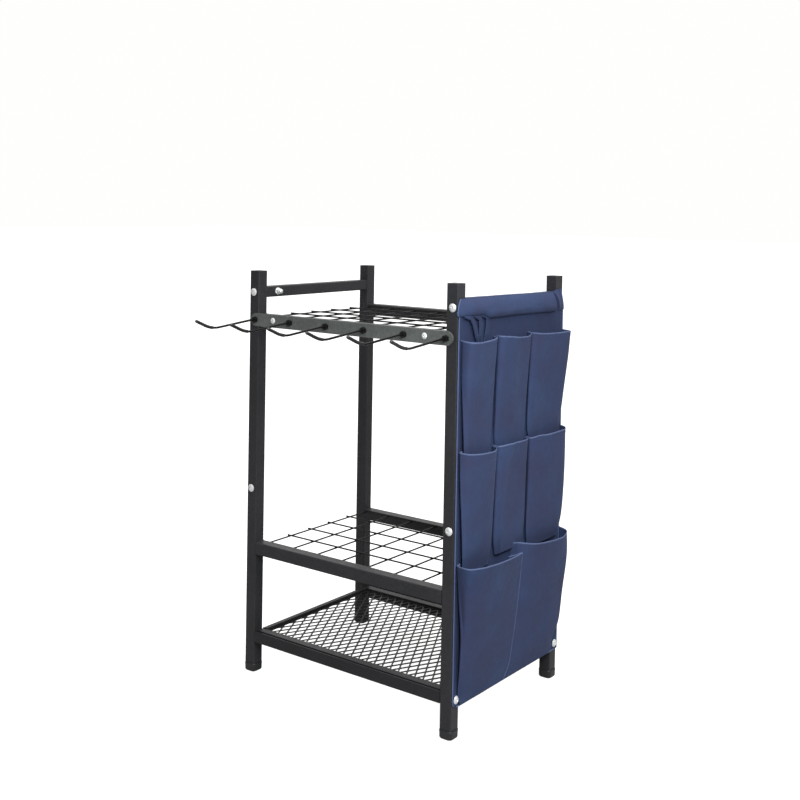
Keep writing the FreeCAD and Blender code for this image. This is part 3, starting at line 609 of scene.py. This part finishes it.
def make_panel():
    ys = steps(-215.5, -205.0, 1.5) + steps(-205.0, -110.0, 0.85) + steps(-110.0, 216.8, 6.0) + [216.8]
    zs = steps(68.0, 92.0, 2.0) + steps(92.0, 780.0, 9.0) + steps(780.0, 880.0, 1.7) + [880.0]
    g = []
    for z in zs[::-1]:
        row = []
        for y in ys:
            hold = max(0.0, min(1.0, (y + 215.5) / 30, (216.8 - y) / 30, (z - 68) / 40))
            o = 1.25 + 0.35 * hold * noise.noise(Vector((y / 60, z / 140, 4.2)))
            zz = z
            if z > 780 and y < -90:
                near = max(0.0, min(1.0, (y + 215.5) / 6))
                y2, z2, up = pleat(y, z)
                o += up * near
                y, zz = y + (y2 - y) * near, z + (z2 - z) * near
            if z > 806:
                o += 1.0 * hold * max(0.0, (z - 806) / 68) * (0.5 + noise.noise(Vector((y / 28, z / 70, 9.0))))
            # the lower front corner is cut round
            r = 13.0
            trim = r - math.sqrt(r * r - max(0.0, r - (z - 68)) ** 2) if z < 68 + r else 0.0
            yy = y + trim * max(0.0, 1 - (y + 215.5) / 60)
            row.append(Vector((max(o, 0.95), yy, zz)))
        g.append(row)
    verts = [bag(*p) for row in g for p in row]
    # the back panel takes the darker copy of the cloth: painted shade
    ob = piece("back_panel", verts, grid_faces(len(g), len(ys)), NAVY_PAINTED_SHADE, True)
    s = ob.modifiers.new("cloth", "SOLIDIFY")
    s.thickness = 0.0011
    s.offset = 0.0
    out = Vector((1, 0, 0))
    front = [Vector((1.75 + max(0.0, p.x - 1.25), p.y, p.z)) for p in [row[0] for row in g]][::2]
    tape("panel_binding_front", front, [out] * len(front), [Vector((0, 1, 0))] * len(front))
    rear = [Vector((1.75, row[-1].y, row[-1].z)) for row in g][::3]
    tape("panel_binding_rear", rear, [out] * len(rear), [Vector((0, -1, 0))] * len(rear))
    low = [Vector((2.4, p.y, p.z)) for p in g[-1]][::3]
    tape("panel_binding_bottom", low, [out] * len(low), [Vector((0, 0, 1))] * len(low), 1.2, 0.8)
    stitch([p + Vector((0.7, 5.0, 0)) for p in front], [out] * len(front))
    stitch([p + Vector((0.7, -5.0, 0)) for p in rear], [out] * len(rear))
    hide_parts("bag_back_panel")
    return ob


def sag(y):
    """The sleeve's top edge sinks towards the rear, then rises over the rear post."""
    down = -5.4 * max(0.0, min(1.0, (y + 194) / 352))
    up = max(0.0, min(1.0, (y - 150) / 48))
    return down + 7.6 * up * up * (3 - 2 * up) + 0.35 * math.sin(y / 38.0)


def make_sleeve():
    ys = steps(-213.0, -185.0, 2.0) + steps(-185.0, 150.0, 5.0) + steps(150.0, 195.0, 0.75) + steps(195.0, 217.5, 1.5) + [217.5]
    section = [(2.6, 869.5), (3.8, 865.4), (7.0, 864.0), (10.6, 867.2), (13.2, 875.0), (13.0, 885.0), (10.8, 894.5), (7.0, 902.2), (3.2, 907.0), (0.6, 908.6)]
    g = []
    nv = 40
    for j in range(nv):
        row = []
        for y in ys:
            fall = 168 + (907 - (864 + 44 * j / (nv - 1))) * 0.487
            end = min((y + 213.0) / 34, (fall - 3.5 - y) / 9, 1.0)
            b = (0.20 if y < 0 else 0.10) + (0.80 if y < 0 else 0.90) * max(0.0, end) ** 0.7
            sec = [Vector((1.5 + (o - 1.5) * b if o > 1.5 else o, z, 0)) for o, z in section]
            p = spline(sec, (len(sec) - 1) * j / (nv - 1))
            u = j / (nv - 1)
            o, z = p.x, p.y
            # lower edge follows the cloth: high at the front, dipping to the rear
            dip = 13.5 * max(0.0, min(1.0, (-110 - y) / 24)) - 3.5 * max(0.0, min(1.0, (y - 20) / 120))
            z += dip * (1 - u) ** 1.5
            z += sag(y) * u ** 2
            if u > 0.75:
                o = max(o, 0.6 + 1.3 * max(0.0, min(1.0, (abs(y) - 186) / 6)))
            # the slanting fold where the loop ends and the cloth runs on over the rear post
            line = 168 + (907 - z) * 0.487
            d = y - line
            deep = math.sin(math.pi * max(0.0, min(1.0, (z - 863) / 42))) ** 0.7
            o += (2.4 + 8.0 * deep) * math.exp(-d / 15.0) * (1 - math.exp(-d / 0.9)) if d > 0 else 0.0
            o += 0.9 * b * noise.noise(Vector((y / 34, z / 18, 2.0))) + 0.35 * b * noise.noise(Vector((y / 11, z / 9, 6.0)))
            # both ends are curved: the front one bellies out over the post, the rear one leans in at the top
            t = max(0.0, min(1.0, (z - 866) / 43))
            belly = (2.0 + 9.5 * math.sin(math.pi * min(1.0, t * 1.04)) ** 0.8 - 3.5 * t) * max(0.0, 1 - (y + 213) / 26)
            lean = 12.0 * max(0.0, min(1.0, (z - 865) / 46)) * max(0.0, min(1.0, (y - 188) / 29.5))
            row.append(Vector((max(o, 0.6), y - belly - lean, z)))
        g.append(row)
    verts = [bag(*p) for row in g for p in row]
    outer = piece("bag_sleeve_outer", verts, grid_faces(nv, len(ys)), NAVY, True)
    s = outer.modifiers.new("cloth", "SOLIDIFY")
    s.thickness = 0.0012
    s.offset = 0.0
    # the loop's top, inner side and underside, between the posts
    inner = [(0.6, 908.6), (-6.0, 909.0), (-14.0, 908.6), (-22.0, 907.2), (-27.6, 903.0), (-28.6, 895.0),
             (-28.2, 884.0), (-27.0, 876.0), (-21.0, 873.2), (-10.0, 872.0), (0.0, 870.5), (2.2, 869.0)]
    yi = steps(-187.5, 187.5, 4.0) + [187.5]
    g2, nv2 = [], 48
    for j in range(nv2):
        row = []
        for y in yi:
            sec = [Vector((o, z, 0)) for o, z in inner]
            p = spline(sec, (len(sec) - 1) * j / (nv2 - 1))
            u = j / (nv2 - 1)
            w = 0.7 * noise.noise(Vector((y / 30, p.y / 16, 5.0))) * math.sin(math.pi * u)
            up = -5.4 * max(0.0, min(1.0, (y + 194) / 352)) * max(0.0, min(1.0, (p.y - 902.9) / 5.7))
            away = Vector((p.x + 13, p.y - 889, 0)).normalized()
            row.append(Vector((p.x + away.x * (w + 0.4), y, p.y + away.y * (w + 0.4) + up)))
        g2.append(row)
    verts = [bag(*p) for row in g2 for p in row]
    loop = piece("bag_sleeve_loop", verts, grid_faces(nv2, len(yi)), NAVY, True)
    s = loop.modifiers.new("cloth", "SOLIDIFY")
    s.thickness = 0.0012
    s.offset = 0.0
    nn = normals(g)
    sgn = 1 if nn[nv // 2][20].x > 0 else -1
    for j, skip in ((3, 1), (nv - 4, 1)):
        row = g[j][::skip]
        stitch([p + n * sgn * 0.75 for p, n in zip(row, nn[j][::skip])], [n * sgn for n in nn[j][::skip]])
    front = [row[0].copy() for row in g]
    fb = tape("sleeve_binding_front", front, [Vector((1, 0, 0))] * nv, [Vector((0, 1, 0))] * nv, 0.2, 0.75)
    rear = [row[-1].copy() for row in g]
    rb = tape("sleeve_binding_rear", rear, [Vector((1, 0, 0))] * nv, [Vector((0, -1, 0))] * nv, 0.2, 0.75)
    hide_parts("bag_sleeve")


make_sleeve()
make_panel()
for i, (rim, levels) in POCKETS.items():
    make_pocket(i, rim, levels)
thread = piece("bag_stitching", STITCHES[0], STITCHES[1], NAVY_THREAD, True)


# ------------------------------------------------------------------ expanded metal
def make_mesh():
    x1, y1 = 250.7, 188.15
    long, short, strand = 41.0, 22.0, 2.9
    curve = bpy.data.curves.new("expanded_metal", "CURVE")
    curve.dimensions = "2D"
    curve.fill_mode = "BOTH"
    curve.extrude = 0.0007
    curve.bevel_depth = 0.0004
    curve.bevel_resolution = 1

    def loop(pts):
        sp = curve.splines.new("POLY")
        sp.points.add(len(pts) - 1)
        for k, (a, b) in enumerate(pts):
            sp.points[k].co = ((a - ORIGIN[0]) / 1000, (b - ORIGIN[1]) / 1000, 0, 1)
        sp.use_cyclic_u = True

    def clipped(poly, axis, limit, keep):
        out = []
        for i, a in enumerate(poly):
            b = poly[(i + 1) % len(poly)]
            ia, ib = keep * (a[axis] - limit) >= 0, keep * (b[axis] - limit) >= 0
            if ia:
                out.append(a)
            if ia != ib:
                t = (limit - a[axis]) / (b[axis] - a[axis])
                out.append((a[0] + t * (b[0] - a[0]), a[1] + t * (b[1] - a[1])))
        return out

    m = 0.45
    loop([(-x1 + m, -y1 + m), (x1 - m, -y1 + m), (x1 - m, y1 - m), (-x1 + m, y1 - m)])
    hx = short / 2 - strand / 2 * math.hypot(long, short) / long - 0.2
    hy = long / 2 - strand / 2 * math.hypot(long, short) / short - 0.2
    # a diamond whose long corners are cut blunt and whose sides bow, as a slit and pulled sheet has
    shape = [(0.0, -hy * 0.97), (hx * 0.20, -hy * 0.86), (hx * 0.62, -hy * 0.42), (hx * 0.97, -hy * 0.05), (hx * 0.97, hy * 0.05),
             (hx * 0.62, hy * 0.42), (hx * 0.20, hy * 0.86), (0.0, hy * 0.97), (-hx * 0.20, hy * 0.86),
             (-hx * 0.62, hy * 0.42), (-hx * 0.97, hy * 0.05), (-hx * 0.97, -hy * 0.05), (-hx * 0.62, -hy * 0.42), (-hx * 0.20, -hy * 0.86)]
    for j in range(-11, 12):
        for i in range(-14, 15):
            cx, cy = (i + 0.5 * (j % 2)) * short, j * long / 2
            poly = [(cx + a, cy + b) for a, b in shape]
            for axis, lim in ((0, x1 - 2.2), (1, y1 - 2.2)):
                poly = clipped(poly, axis, -lim, 1) if poly else poly
                poly = clipped(poly, axis, lim, -1) if poly else poly
            if len(poly) >= 3:
                area = abs(sum(a[0] * b[1] - b[0] * a[1] for a, b in zip(poly, poly[1:] + poly[:1]))) / 2
                if area > 14:
                    loop(poly)
    tmp = bpy.data.objects.new("expanded_tmp", curve)
    bpy.context.scene.collection.objects.link(tmp)
    bpy.context.view_layer.update()
    me = bpy.data.meshes.new_from_object(tmp.evaluated_get(bpy.context.evaluated_depsgraph_get()))
    bpy.data.objects.remove(tmp)
    me.transform(Matrix.Translation((0, 0, 0.0918)))
    me.materials.clear()
    me.materials.append(WIRE)
    ob = bpy.data.objects.new("expanded_metal", me)
    bpy.context.scene.collection.objects.link(ob)
    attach(ob, "root")
    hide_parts("tray_mesh")


make_mesh()

# ------------------------------------------------------------------ welds
WELD = ([], [])


def blob(c, rx, ry, rz, seed):
    verts, faces = WELD
    base, n, m = len(verts), 10, 6
    for j in range(1, m):
        th = math.pi * j / m
        for i in range(n):
            ph = 2 * math.pi * i / n
            k = 1 + 0.10 * noise.noise(Vector((i * 0.9, j * 1.1, seed)))
            verts.append(M(c[0] + rx * k * math.sin(th) * math.cos(ph), c[1] + ry * k * math.sin(th) * math.sin(ph), c[2] + rz * k * math.cos(th)))
    top, low = len(verts), len(verts) + 1
    verts.append(M(c[0], c[1], c[2] + rz))
    verts.append(M(c[0], c[1], c[2] - rz))
    for j in range(m - 2):
        for i in range(n):
            a, b = base + j * n + i, base + j * n + (i + 1) % n
            faces.append((a, a + n, b + n, b))
    for i in range(n):
        faces.append((base + i, base + (i + 1) % n, top))
        faces.append((base + (m - 2) * n + (i + 1) % n, base + (m - 2) * n + i, low))


def bead(a, b, r, out, seed):
    """A fillet weld from a to b: overlapping ripples."""
    a, b = Vector(a), Vector(b)
    n = max(2, int((b - a).length / 1.7))
    for k in range(n + 1):
        p = a.lerp(b, k / n)
        w = 1 + 0.15 * noise.noise(Vector((k * 0.7, seed, 0)))
        blob(p + Vector(out) * 0.2, r * w * (1.15 if abs((b - a).x) > 1 else 1.0), r * w, r * w, seed + k)


IX, OY, IY = 264.5, 217.15, 188.55
seed = 0.0
for sx in (-1, 1):
    for z in (277.5, 306.5):
        bead((sx * IX, -OY + 3.5, z), (sx * IX, -IY - 2.5, z), 1.3, (0, 0, 0), seed)
        seed += 5
    for z in (276.5, 302.0):
        bead((sx * IX, IY + 3, z), (sx * IX, OY - 3, z), 1.3, (0, 0, 0), seed)
        seed += 5
    for z, lo, hi in ((812, -OY + 3.5, -IY - 2.5), (840, -OY + 3.5, -IY - 2.5), (812, IY + 3, OY - 3), (840, IY + 3, OY - 3)):
        bead((sx * IX, lo, z), (sx * IX, hi, z), 1.3, (0, 0, 0), seed)
        seed += 5
    for y in (-OY + 1.0, OY - 1.0):
        bead((sx * IX, y, 74.5), (sx * IX, y, 95.5), 0.55, (0, 0, 0), seed)
        seed += 5
    for sy in (-1, 1):
        bead((sx * IX, sy * (OY - 4), 72.6), (sx * IX, sy * (IY + 2), 72.6), 1.3, (0, 0, 0), seed)
        seed += 5
        bead((sx * 262.5, sy * 188.15, 90.5), (sx * 262.5, sy * 188.15, 98.5), 1.1, (0, 0, 0), seed)
        bead((sx * 250.7, sy * 188.15, 90.5), (sx * 250.7, sy * 188.15, 98.5), 1.1, (0, 0, 0), seed + 2)
        seed += 5
for z in (298.4, 832.2):
    for i in range(8):
        x = 73.5 * (i - 3.5)
        blob((x, -188.3, z), 3.1, 1.9, 2.9, seed)
        blob((x, 188.7, z), 3.1, 1.9, 2.9, seed + 1)
        seed += 2
        for j in range(6):
            y = 73.5 * (j - 2.5)
            blob((x, y, z + 1.8), 2.1, 2.1, 1.5, seed)
            seed += 1
weld = piece("welds", WELD[0], WELD[1], WIRE, True)


# ------------------------------------------------------------------ feet
def foot_ring(cx, cy, half, r, z, n=8):
    """Points round a square of half width half with corners of radius r."""
    out = []
    for q, (sx, sy) in enumerate(((1, 1), (-1, 1), (-1, -1), (1, -1))):
        for i in range(n + 1):
            a = math.pi / 2 * (q + i / n)
            out.append(M(cx + sx * (half - r) + r * math.cos(a), cy + sy * (half - r) + r * math.sin(a), z))
    return out


def make_foot(name, sx, sy):
    """A pushed-on cap: soft round corners, rounded under, with a thicker lip at the top."""
    cx, cy = sx * 278.8, sy * 202.85
    rings = []
    for k in range(9):
        a = math.pi / 2 * k / 8
        inset = 7.0 * (1 - math.sin(a))
        rings.append((5.0 * (1 - math.cos(a)), 16.1 - inset, 8.4 - 0.25 * inset))
    rings += [(14.4, 16.15, 8.4), (14.9, 16.3, 8.5), (15.4, 16.48, 8.6), (16.2, 16.5, 8.6), (18.3, 16.5, 8.6),
              (19.1, 16.3, 8.5), (19.5, 15.8, 7.4), (19.5, 14.35, 3.0), (4.98, 14.35, 3.0)]
    verts, faces, n = [], [], 36
    for z, half, r in rings:
        verts += foot_ring(cx, cy, half, r, z)
    for j in range(len(rings) - 1):
        for i in range(n):
            a, b = j * n + i, j * n + (i + 1) % n
            faces.append((a, b, b + n, a + n))
    faces.append(tuple(range(n))[::-1])
    faces.append(tuple(range((len(rings) - 1) * n, len(rings) * n)))
    ob = piece("foot_" + name, verts, faces, FOOT, True)
    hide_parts("foot_cap_" + name)


for corner, cx, cy in (("fl", -1, -1), ("fr", 1, -1), ("bl", -1, 1), ("br", 1, 1)):
    make_foot(corner, cx, cy)


# ------------------------------------------------------------------ stage and light
def stage():
    me = bpy.data.meshes.new("floor")
    s = 40
    me.from_pydata([(-s, -s, 0), (s, -s, 0), (s, s, 0), (-s, s, 0)], [], [(0, 1, 2, 3)])
    m = Mat("floor_white")
    white = m.ramp(m.noise(0.8, 2.0), [(0.2, (0.24, 0.24, 0.235)), (0.8, (0.26, 0.26, 0.255))])
    m.set(Base_Color=white)
    m.bsdf.inputs["Roughness"].default_value = 0.9
    m.bsdf.inputs["Specular IOR Level"].default_value = 0.1
    m.bsdf.inputs["Emission Color"].default_value = (1, 1, 0.99, 1)
    m.bsdf.inputs["Emission Strength"].default_value = 0.94
    # the sweep is white to look at, and throws only a little light back up
    dull = m.add("ShaderNodeBsdfDiffuse")
    m.link(m.ramp(m.noise(0.8, 2.0), [(0.2, (0.30, 0.30, 0.30)), (0.8, (0.32, 0.32, 0.32))]), dull.inputs["Color"])
    seen = m.add("ShaderNodeLightPath").outputs["Is Camera Ray"]
    both = m.add("ShaderNodeMixShader")
    m.link(seen, both.inputs[0])
    m.link(dull.outputs[0], both.inputs[1])
    m.link(m.bsdf.outputs[0], both.inputs[2])
    m.link(both.outputs[0], next(n for n in m.nt.nodes if n.type == "OUTPUT_MATERIAL").inputs["Surface"])
    me.materials.append(m.mat)
    ob = bpy.data.objects.new("floor", me)
    bpy.context.scene.collection.objects.link(ob)
    world = bpy.data.worlds.new("studio")
    bpy.context.scene.world = world
    world.use_nodes = True
    nt = world.node_tree
    bg = nt.nodes["Background"]
    # a white sweep behind the rack, paler walls in front of it
    coord = nt.nodes.new("ShaderNodeTexCoord")
    dot = nt.nodes.new("ShaderNodeVectorMath")
    dot.operation = "DOT_PRODUCT"
    dot.inputs[1].default_value = (-0.60, 0.80, 0.0)
    nt.links.new(coord.outputs["Generated"], dot.inputs[0])
    sep = nt.nodes.new("ShaderNodeSeparateXYZ")
    nt.links.new(coord.outputs["Generated"], sep.inputs[0])

    def span(sock, lo, hi):
        n = nt.nodes.new("ShaderNodeMapRange")
        n.interpolation_type = "SMOOTHSTEP"
        n.inputs["From Min"].default_value = lo
        n.inputs["From Max"].default_value = hi
        nt.links.new(sock, n.inputs["Value"])
        return n.outputs[0]

    top = nt.nodes.new("ShaderNodeMath")
    top.operation = "MAXIMUM"
    nt.links.new(span(dot.outputs["Value"], 0.05, 0.75), top.inputs[0])
    nt.links.new(span(sep.outputs[2], 0.35, 0.95), top.inputs[1])
    ramp = nt.nodes.new("ShaderNodeValToRGB")
    ramp.color_ramp.elements[0].color = (0.12, 0.12, 0.124, 1)
    ramp.color_ramp.elements[1].color = (0.995, 0.995, 0.98, 1)
    nt.links.new(top.outputs[0], ramp.inputs[0])
    pick = nt.nodes.new("ShaderNodeMix")
    pick.data_type = "RGBA"
    nt.links.new(nt.nodes.new("ShaderNodeLightPath").outputs["Is Camera Ray"], pick.inputs[0])
    nt.links.new(ramp.outputs[0], pick.inputs[6])
    pick.inputs[7].default_value = (0.995, 0.995, 0.98, 1)
    nt.links.new(pick.outputs[2], bg.inputs[0])
    bg.inputs[1].default_value = 1.0

    def area(name, place, aim, size, watts, tint=(1, 1, 1)):
        d = bpy.data.lights.new(name, "AREA")
        d.shape = "RECTANGLE"
        d.size, d.size_y = size
        d.energy = watts
        d.color = tint
        o = bpy.data.objects.new(name, d)
        bpy.context.scene.collection.objects.link(o)
        o.location = place
        o.rotation_euler = (Vector(aim) - Vector(place)).to_track_quat("-Z", "Y").to_euler()

    def sun(name, way, watts, spread):
        d = bpy.data.lights.new(name, "SUN")
        d.energy = watts
        d.angle = math.radians(spread)
        o = bpy.data.objects.new(name, d)
        bpy.context.scene.collection.objects.link(o)
        o.rotation_euler = Vector(way).to_track_quat("-Z", "Y").to_euler()

    sun("overhead", (-0.34, 0.18, -1.0), 2.7, 35)
    sun("key", (-0.80, 0.10, -0.66), 1.02, 22)
    area("upper_left", (1.25, -1.05, 1.35), (0.3, -0.12, 0.84), (0.45, 0.45), 31.0, (0.84, 0.95, 1.0))
    area("rear_right", (3.2, 2.2, 1.6), (0.3, 0, 0.5), (2.0, 2.6), 4)


stage()
sc = bpy.context.scene
sc.view_settings.view_transform = "Standard"
sc.view_settings.look = "None"
sc.view_settings.exposure = 0.0
